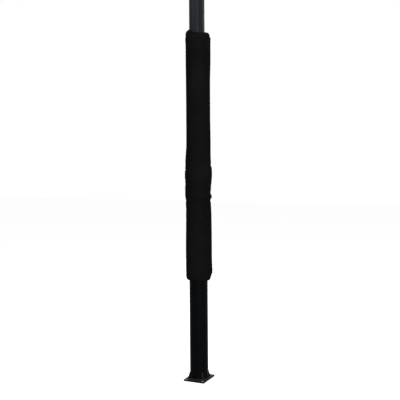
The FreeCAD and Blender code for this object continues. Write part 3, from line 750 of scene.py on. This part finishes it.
def add_tube(name, radius, low, high, columns):
    """An open upright tube, its long edges divided into even rings."""
    deselect()
    bpy.ops.mesh.primitive_cylinder_add(
        vertices=columns, radius=radius, depth=high - low, end_fill_type="NOTHING",
        location=(0, 0, (low + high) / 2))
    tube = bpy.context.object
    tube.name = name
    tube.data.name = name
    apply_place(tube)
    for cuts in ROWS:
        divide_along(tube, 2, cuts)
    return tube


top_start = PAD_HIGH - TOP_CORNER[1]
foot_start = PAD_LOW + FOOT_CORNER[1]
sleeve = add_tube("sleeve", START_R, foot_start, top_start, COLUMNS)
print("sleeve squares", len(sleeve.data.polygons))


# %% Turn both ends in to the tubes
END_STEPS = 5
BORE_PLAY = 0.0015
MAST_BORE = MAST_R + BORE_PLAY
TUBE_BORE = TUBE_R + BORE_PLAY
RING_WITHIN = 1e-4
# radius, height above the end: the top's inner rim is rolled up against the mast
TOP_RIM = [(0.0505, 0.0015), (0.0485, 0.0030), (0.0470, 0.0020), (0.0463, -0.0030),
           (MAST_BORE, -0.0120), (MAST_BORE, -0.0250)]
FOOT_RIM = [(TUBE_BORE, 0.0030), (TUBE_BORE, 0.0160)]


def corner_steps(height, direction, corner):
    """A quarter of an oval from upright to flat, given its width and its height."""
    wide, tall = corner
    steps = []
    for step in range(1, END_STEPS + 1):
        turn = math.pi / 2 * step / END_STEPS
        steps.append((START_R - wide * (1 - math.cos(turn)), height + direction * tall * math.sin(turn)))
    return steps


def turn_end_in(piece, height, profile):
    """Extrude the open ring at a height along a profile of radius and height steps."""
    edit_parts(piece, "VERT", lambda vertex: abs(vertex.co.z - height) < RING_WITHIN)
    now = height
    radius = START_R
    for next_radius, next_height in profile:
        bpy.ops.mesh.extrude_region_move(
            TRANSFORM_OT_translate={"value": (0, 0, next_height - now)})
        share = next_radius / radius
        bpy.ops.transform.resize(value=(share, share, 1), center_override=(0, 0, next_height))
        now = next_height
        radius = next_radius
    bpy.ops.object.mode_set(mode="OBJECT")


for start, direction, corner, end, rim in ((top_start, 1, TOP_CORNER, PAD_HIGH, TOP_RIM),
                                           (foot_start, -1, FOOT_CORNER, PAD_LOW, FOOT_RIM)):
    lip = [(radius, end + height) for radius, height in rim]
    turn_end_in(sleeve, start, corner_steps(start, direction, corner) + lip)
print("sleeve with ends", len(sleeve.data.polygons))

# %% [markdown]
# The tube is now a plain one. Each point is moved out to the padding's radius for its direction and
# height, less what the folds take. The turned-in ends share that move less and less towards the bore.
# Neither end is level, as on any sleeve that has hung for a while.

# %% Give the sleeve its form
CLOTH_START = 0.0016
DIP_FROM = 1.90
LIFT_FROM = 0.64
TOP_SAG = 0.0075
TOP_TILT = 0.0040
TOP_FRONT_SAG = 0.0165
FRONT_POWER = 1.5
PEAK = 0.005
PEAK_TILT = 0.004
FOOT_TILT = 0.0015


def share_of(value, none, full):
    """0 at one value, 1 at another, held at both ends."""
    return min(max((value - none) / (full - none), 0), 1)


def top_dip(angle):
    """The top end isn't level: it is lowest in front and highest at the picture's left."""
    turn = angle - RIGHT
    front = max(0, -math.sin(turn)) ** FRONT_POWER
    return TOP_SAG + TOP_TILT * math.cos(turn) + TOP_FRONT_SAG * front


def top_peak(angle):
    """The top's inner edge is pulled up against the mast, most at the picture's left."""
    return PEAK - PEAK_TILT * math.cos(angle - RIGHT)


def foot_lift(angle):
    """The lower end hangs a little higher at the picture's left."""
    return FOOT_TILT * (1 - math.cos(angle - RIGHT))


def shape_sleeve(piece):
    for vertex in piece.data.vertices:
        angle = math.atan2(vertex.co.y, vertex.co.x)
        flat = math.hypot(vertex.co.x, vertex.co.y)
        height = min(max(vertex.co.z, PAD_LOW), PAD_HIGH)
        wanted = sleeve_radius(angle, height) - CLOTH_START - fold_depth(angle, height)
        bore = MAST_BORE if height > COLLAR_MID else TUBE_BORE
        share = share_of(flat, bore, START_R)
        radius = flat + (wanted - START_R) * share
        vertex.co.x = radius * math.cos(angle)
        vertex.co.y = radius * math.sin(angle)
        rise = share_of(vertex.co.z, DIP_FROM, PAD_HIGH)
        drop = share_of(vertex.co.z, LIFT_FROM, PAD_LOW)
        vertex.co.z += (top_peak(angle) * (1 - share) - top_dip(angle)) * rise * rise
        vertex.co.z += foot_lift(angle) * drop


shape_sleeve(sleeve)
sleeve.data.materials.append(vinyl)
print("sleeve shaped, widest", round(max(math.hypot(v.co.x, v.co.y) for v in sleeve.data.vertices), 4))

# %% [markdown]
# Now the cover becomes cloth. Moving the points by a noise would be faster, but its lumps know nothing
# of how vinyl is stretched and held. Air pressure stands for the foam that presses out, and the cloth is
# cut a touch larger than the foam, so it settles unevenly between its held ends. A spare of over 1 %
# would make it buckle somewhere else in every run. How far a point may move is capped, which keeps the
# sleeve's measured outline. One subdivision smooths the squares.

# %% Blow the cover up as cloth
CLOTH_FRAMES = 20
CLOTH_CAP = 0.0035
HELD_WITHIN = 0.004
CLOTH_SETTINGS = {
    "quality": 5,
    "mass": 0.3,
    "tension_stiffness": 30,
    "compression_stiffness": 30,
    "shear_stiffness": 12,
    "bending_stiffness": 0.9,
    "use_pressure": True,
    "uniform_pressure_force": 4.0,
    "shrink_min": -0.006,
    "vertex_group_mass": "held",
}


def run_cloth(piece):
    """Step the cloth through its frames and keep its last shape."""
    held = piece.vertex_groups.new(name="held")
    for vertex in piece.data.vertices:
        if math.hypot(vertex.co.x, vertex.co.y) < TUBE_R + HELD_WITHIN:
            held.add([vertex.index], 1.0, "REPLACE")
    only(piece)
    cloth = piece.modifiers.new("air", "CLOTH")
    for key, value in CLOTH_SETTINGS.items():
        setattr(cloth.settings, key, value)
    cloth.settings.effector_weights.gravity = 0
    cloth.collision_settings.use_collision = False
    cloth.collision_settings.use_self_collision = False
    cloth.point_cache.frame_start = 1
    cloth.point_cache.frame_end = CLOTH_FRAMES
    for number in range(1, CLOTH_FRAMES + 1):
        bpy.context.scene.frame_set(number)
    bpy.ops.object.modifier_apply(modifier="air")
    bpy.context.scene.frame_set(1)


def blow_up(piece):
    """Run the cloth, then put each point on its way to where the cloth took it, at most the cap."""
    start = [vertex.co.copy() for vertex in piece.data.vertices]
    run_cloth(piece)
    furthest = 0.0
    for vertex, first in zip(piece.data.vertices, start):
        move = vertex.co - first
        furthest = max(furthest, move.length)
        if move.length > CLOTH_CAP:
            vertex.co = first + move * (CLOTH_CAP / move.length)
    return furthest


print("cloth moved up to", round(blow_up(sleeve) * 1000, 2), "mm")


# %% Smooth the squares
def add_and_apply(piece, name, kind, **settings):
    """Add a modifier with its settings and apply it."""
    only(piece)
    modifier = piece.modifiers.new(name, kind)
    for key, value in settings.items():
        setattr(modifier, key, value)
    bpy.ops.object.modifier_apply(modifier=name)


def shade_smooth(piece, angle=None):
    """Smooth shading all over, or only across edges flatter than an angle."""
    only(piece)
    if angle is None:
        bpy.ops.object.shade_smooth()
    else:
        bpy.ops.object.shade_smooth_by_angle(angle=math.radians(angle))


add_and_apply(sleeve, "smoother", "SUBSURF", levels=1, render_levels=1)
shade_smooth(sleeve)
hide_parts("pad_foam", "pad_cover")
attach(sleeve, "post")
print("sleeve faces", len(sleeve.data.polygons))

# %% [markdown]
# ## The closing flap and its tape
# One edge of the cover laps over the other and is held by hook-and-loop tape. The flap is a strip of
# the same vinyl with a hem on each long edge. A flat strip could be bent round the sleeve, but it would
# miss the folds below it. So the strip starts as a piece of tube, of which only a sector is kept, is laid
# on the sleeve point by point, and then gets its thickness. Its free edge stands a little proud in a slow
# wave, as such edges do after a few seasons. The tape is a thinner strip under it.

# %% Strips laid on the sleeve
STRIP_R = 0.10
STRIP_COLUMNS = 160
EDGE_SHARE = 0.3
OUTSIDE_R = 0.2


def turn_from(angle, middle):
    """How far one direction is from another, between minus and plus half a turn."""
    return (angle - middle + math.pi) % (2 * math.pi) - math.pi


def keep_sector(piece, middle, half):
    """Delete the faces whose middle is outside a sector."""
    def outside(face):
        return abs(turn_from(math.atan2(face.center.y, face.center.x), middle)) > half

    edit_parts(piece, "FACE", outside)
    bpy.ops.mesh.delete(type="FACE")
    bpy.ops.object.mode_set(mode="OBJECT")


def surface_tree(piece):
    """A search tree over a piece's faces, to find where a line meets it."""
    return BVHTree.FromObject(piece, bpy.context.evaluated_depsgraph_get())


def surface_point(tree, angle, height):
    """The outermost point and its outward direction, in a direction and at a height."""
    outward = Vector((math.cos(angle), math.sin(angle), 0))
    point, normal, _, _ = tree.ray_cast(outward * OUTSIDE_R + Vector((0, 0, height)), -outward)
    return point, normal


def lay_strip(name, half, inset, lift, thick):
    """A strip of tube wall laid on the sleeve round its closure, standing off by lift."""
    strip = add_tube(name, STRIP_R, PAD_LOW + inset, PAD_HIGH - inset, STRIP_COLUMNS)
    keep_sector(strip, CLOSURE, half)
    tree = surface_tree(sleeve)
    for vertex in strip.data.vertices:
        angle = math.atan2(vertex.co.y, vertex.co.x)
        point, _ = surface_point(tree, angle, vertex.co.z)
        stand = (lift(angle, vertex.co.z) + math.hypot(point.x, point.y)) / STRIP_R
        vertex.co.x *= stand
        vertex.co.y *= stand
    add_and_apply(strip, "wall", "SOLIDIFY", thickness=thick, offset=1.0, use_even_offset=True)
    add_and_apply(strip, "edge", "BEVEL", width=thick * EDGE_SHARE, segments=2, limit_method="ANGLE")
    shade_smooth(strip, 40)
    return strip


# %% The tape
TAPE_HALF = math.radians(14)
TAPE_INSET = 0.048
TAPE_THICK = 0.0007
TAPE_CLEAR = 0.0001


def tape_lift(angle, height):
    """The tape lies evenly on the cover."""
    return TAPE_CLEAR


tape = lay_strip("hook_tape", TAPE_HALF, TAPE_INSET, tape_lift, TAPE_THICK)
print("tape faces", len(tape.data.polygons))

# %% The flap
FLAP_HALF = math.radians(22)
FLAP_INSET = 0.040
FLAP_THICK = 0.0015
FLAP_CLEAR = 0.0002
OVER_TAPE = 0.0010
RAMP_SHARE = 0.3
FLAP_WAVE = 0.0013
WAVE_MEAN = 0.55
WAVE_SWING = 0.45
LONG_WAVE = 9.1
SHORT_WAVE = 23.0


def flap_lift(angle, height):
    """The flap clears the tape, lies on the cover at its root and waves at its free edge."""
    across = turn_from(angle, CLOSURE) / FLAP_HALF
    over_tape = OVER_TAPE * share_of(1.0 - abs(across), 0, RAMP_SHARE)
    free = max(-across, 0) ** 3
    wave = WAVE_MEAN + WAVE_SWING * math.sin(height * SHORT_WAVE) * math.sin(height * LONG_WAVE + 1.0)
    return FLAP_CLEAR + over_tape + FLAP_WAVE * free * wave


flap = lay_strip("closing_flap", FLAP_HALF, FLAP_INSET, flap_lift, FLAP_THICK)
flap.data.materials.append(vinyl)
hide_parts("pad_flap")
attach(flap, "post")
print("flap faces", len(flap.data.polygons))

# %% [markdown]
# Hook-and-loop tape is a carpet of tiny loops that drinks light. A particle system could grow them, but
# only the tape's edge shows between flap and cover, so Voronoi cells with a deep bump are enough.

# %% Hook-and-loop finish
HOOK_DARK = (0.0030, 0.0030, 0.0032)
HOOK_LIGHT = (0.0090, 0.0090, 0.0095)
LOOP_SCALE = 900


def hook_and_loop():
    material, node, link = new_material("hook_and_loop")
    place = coordinates(node, link)
    loops = node("ShaderNodeTexVoronoi", feature="F1")
    loops.inputs["Scale"].default_value = LOOP_SCALE
    link(place, loops.inputs["Vector"])
    tuft = noise(node, link, place, scale=260, detail=4, rough=0.7)
    colour = ramp(node, link, loops.outputs["Distance"], HOOK_LIGHT, HOOK_DARK, first=0.1, last=0.6)
    rough = spread(node, link, tuft, 0.80, 0.95)
    relief = bump(node, link, loops.outputs["Distance"], strength=0.7, distance=0.0006)
    finish_shader(node, link, colour, rough, relief, specular=0.05)
    return material


tape.data.materials.append(hook_and_loop())
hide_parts("closure_tape")
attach(tape, "post")
print("tape finished")

# %% [markdown]
# ## Stitching
# The flap's hems and the seams between the sleeve's side and its two ends are sewn with black thread.
# A dashed line in the material would look sewn from afar and flat from near. One stitch is a short fat
# grain, sunk by half into the vinyl. It is modelled once and copied along each row, every copy turned to
# follow the row and the surface under it.

# %% One stitch, and rows of places for it
STITCH_PITCH = 0.0042
STITCH_HALF = (0.00042, 0.00150, 0.00040)
SEAM_R = 0.072

deselect()
bpy.ops.mesh.primitive_uv_sphere_add(segments=6, ring_count=4, radius=1)
stitch = bpy.context.object
stitch.name = "stitch"
stitch.scale = STITCH_HALF
apply_place(stitch)


def upright_row(tree, angle, low, high):
    """Places up a surface: each one a point, the row's direction and the surface's outward one."""
    count = int((high - low) / STITCH_PITCH)
    places = []
    for number in range(count + 1):
        height = low + (high - low) * number / count
        point, normal = surface_point(tree, angle, height)
        places.append((point, UP, normal))
    return places


def round_row(tree, height):
    """Places round the sleeve at one height."""
    count = int(2 * math.pi * SEAM_R / STITCH_PITCH)
    places = []
    for number in range(count):
        angle = 2 * math.pi * number / count
        point, normal = surface_point(tree, angle, height)
        places.append((point, Vector((-math.sin(angle), math.cos(angle), 0)), normal))
    return places


print("stitch", [round(half * 2 * 1000, 2) for half in STITCH_HALF], "mm")

# %% Sew the seams
FLAP_SEAMS = (-0.90, -0.72, 0.88)
FLAP_SEAM_END = 0.004
FOOT_SEAM = 0.028
TOP_SEAM = 0.034


def copy_to(model, places, name):
    """Copy a small model to many places, join the copies to one piece and delete the model."""
    copies = []
    for point, along, outward in places:
        side = along.cross(outward).normalized()
        up = side.cross(along).normalized()
        turn = Matrix((side, along.normalized(), up)).transposed().to_4x4()
        mesh = model.data.copy()
        mesh.transform(Matrix.Translation(point) @ turn)
        copy = bpy.data.objects.new(name, mesh)
        bpy.context.scene.collection.objects.link(copy)
        copies.append(copy)
    deselect()
    for copy in copies:
        copy.select_set(True)
    bpy.context.view_layer.objects.active = copies[0]
    bpy.ops.object.join()
    joined = bpy.context.object
    joined.name = name
    joined.data.name = name
    bpy.data.objects.remove(model)
    return joined


sleeve_tree = surface_tree(sleeve)
flap_tree = surface_tree(flap)
flap_foot = PAD_LOW + FLAP_INSET + FLAP_SEAM_END
flap_head = PAD_HIGH - FLAP_INSET - FLAP_SEAM_END
rows = []
for share in FLAP_SEAMS:
    rows += upright_row(flap_tree, CLOSURE + share * FLAP_HALF, flap_foot, flap_head)
rows += round_row(sleeve_tree, PAD_LOW + FOOT_SEAM)
rows += round_row(sleeve_tree, PAD_HIGH - TOP_SEAM)
stitches = copy_to(stitch, rows, "stitches")
shade_smooth(stitches)
print("stitches", len(rows), "faces", len(stitches.data.polygons))


# %% Thread finish
# painted shade for the grooves between the twist's strands
THREAD_PAINTED_GROOVE_SHADE = (0.0032, 0.0032, 0.0034)
THREAD_LIGHT = (0.0100, 0.0100, 0.0104)
TWIST_SCALE = 900


def black_thread():
    material, node, link = new_material("black_thread")
    place = coordinates(node, link)
    twist = node("ShaderNodeTexWave", wave_type="BANDS", bands_direction="DIAGONAL")
    twist.inputs["Scale"].default_value = TWIST_SCALE
    link(place, twist.inputs["Vector"])
    fuzz = noise(node, link, place, scale=2200, detail=2)
    # the twist bands are darker where the bump sinks: painted shade in the grooves between strands
    colour = ramp(node, link, twist.outputs["Fac"], THREAD_PAINTED_GROOVE_SHADE, THREAD_LIGHT)
    rough = spread(node, link, fuzz, 0.55, 0.75)
    relief = bump(node, link, twist.outputs["Fac"], strength=0.4, distance=0.0002)
    finish_shader(node, link, colour, rough, relief, specular=0.1)
    return material


stitches.data.materials.append(black_thread())
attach(stitches, "post")
print("thread finished")

# %% [markdown]
# ## Weld beads
# The foot is welded: one bead runs round the tube, and short ones fasten each gusset on both sides,
# along the plate and up the tube. A plain fillet, as the construction model has it, looks cast and not
# welded, because a real bead is a row of overlapping ripples. A short bead starts as a cylinder cut into
# thin rings, the round one as a torus, and the rings are swollen and shrunk in turn. Short beads are
# modelled once lying and once standing, then copied to every gusset.

# %% One straight bead
BEAD_R = 0.0021
BEAD_SIDES = 10
RIPPLE = 0.0017
RIPPLE_SHARE = 0.13
RINGS_PER_RIPPLE = 4
TAPER = 1.2
THINNEST = 0.02


def ripple_factor(along):
    """Fat in the middle of each ripple, thin where the next one starts."""
    return 1.0 + RIPPLE_SHARE * math.sin(along / RIPPLE * 2 * math.pi)


def straight_bead(name, length):
    """A rippled bead along +Y from the origin, closed and tapered at both ends."""
    deselect()
    bpy.ops.mesh.primitive_cylinder_add(vertices=BEAD_SIDES, radius=BEAD_R, depth=length,
                                        end_fill_type="NGON")
    bead = bpy.context.object
    bead.name = name
    bead.rotation_euler = (-math.pi / 2, 0, 0)
    bead.location = (0, length / 2, 0)
    apply_place(bead)
    divide_along(bead, 1, int(length / RIPPLE * RINGS_PER_RIPPLE))
    for vertex in bead.data.vertices:
        end = min(vertex.co.y, length - vertex.co.y) / (BEAD_R * TAPER)
        taper = math.sqrt(max(1 - (1 - min(end, 1)) ** 2, THINNEST))
        grow = ripple_factor(vertex.co.y) * taper
        vertex.co.x *= grow
        vertex.co.z *= grow
    return bead


# %% Beads on the gussets
gusset_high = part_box("gussets")[1]
PLATE_TOP = plate_high.z
GUSSET_HALF = 0.003
GUSSET_REACH = math.hypot(gusset_high.x, gusset_high.y) - GUSSET_HALF
GUSSET_SNIPE = 0.006
GUSSET_TURNS = (45, 135, 225, 315)
BEAD_OFF = 0.0004

foot_places = []
side_places = []
for turn in GUSSET_TURNS:
    outward = Vector((math.cos(math.radians(turn)), math.sin(math.radians(turn)), 0))
    across = Vector((-outward.y, outward.x, 0))
    for side in (-1, 1):
        edge = across * side * (GUSSET_HALF + BEAD_OFF)
        foot = outward * (TUBE_R + GUSSET_SNIPE) + edge + Vector((0, 0, PLATE_TOP))
        corner = outward * TUBE_R + edge + Vector((0, 0, PLATE_TOP + GUSSET_SNIPE))
        foot_places.append((foot, outward, UP))
        side_places.append((corner, UP, outward))
foot_bead = straight_bead("foot_bead", GUSSET_REACH - TUBE_R - GUSSET_SNIPE)
side_bead = straight_bead("side_bead", gusset_high.z - PLATE_TOP - GUSSET_SNIPE)
foot_beads = copy_to(foot_bead, foot_places, "foot_beads")
side_beads = copy_to(side_bead, side_places, "side_beads")
for piece in (foot_beads, side_beads):
    shade_smooth(piece, 60)
    piece.data.materials.append(coat)
    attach(piece, "post")
print("gusset beads", len(foot_places) + len(side_places))

# %% Bead round the tube
RING_BEAD_R = 0.0031
# the most steps that a torus takes: one each 1.3 mm, so this bead's ripples come out coarser
RING_STEPS = 256
RING_SIDES = 12
# the bead's middle line runs just outside the tube and just above the plate
RING_R = TUBE_R + 0.0010
RING_HEIGHT = PLATE_TOP + 0.0012

deselect()
bpy.ops.mesh.primitive_torus_add(major_segments=RING_STEPS, minor_segments=RING_SIDES,
                                 major_radius=RING_R, minor_radius=RING_BEAD_R,
                                 location=(0, 0, RING_HEIGHT))
ring_bead = bpy.context.object
ring_bead.name = "ring_bead"
apply_place(ring_bead)
for vertex in ring_bead.data.vertices:
    angle = math.atan2(vertex.co.y, vertex.co.x)
    middle = Vector((RING_R * math.cos(angle), RING_R * math.sin(angle), RING_HEIGHT))
    along = (angle + math.pi) * TUBE_R
    vertex.co = middle + (vertex.co - middle) * ripple_factor(along)
shade_smooth(ring_bead, 60)
ring_bead.data.materials.append(coat)
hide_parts("base_weld")
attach(ring_bead, "post")
print("ring bead faces", len(ring_bead.data.polygons))
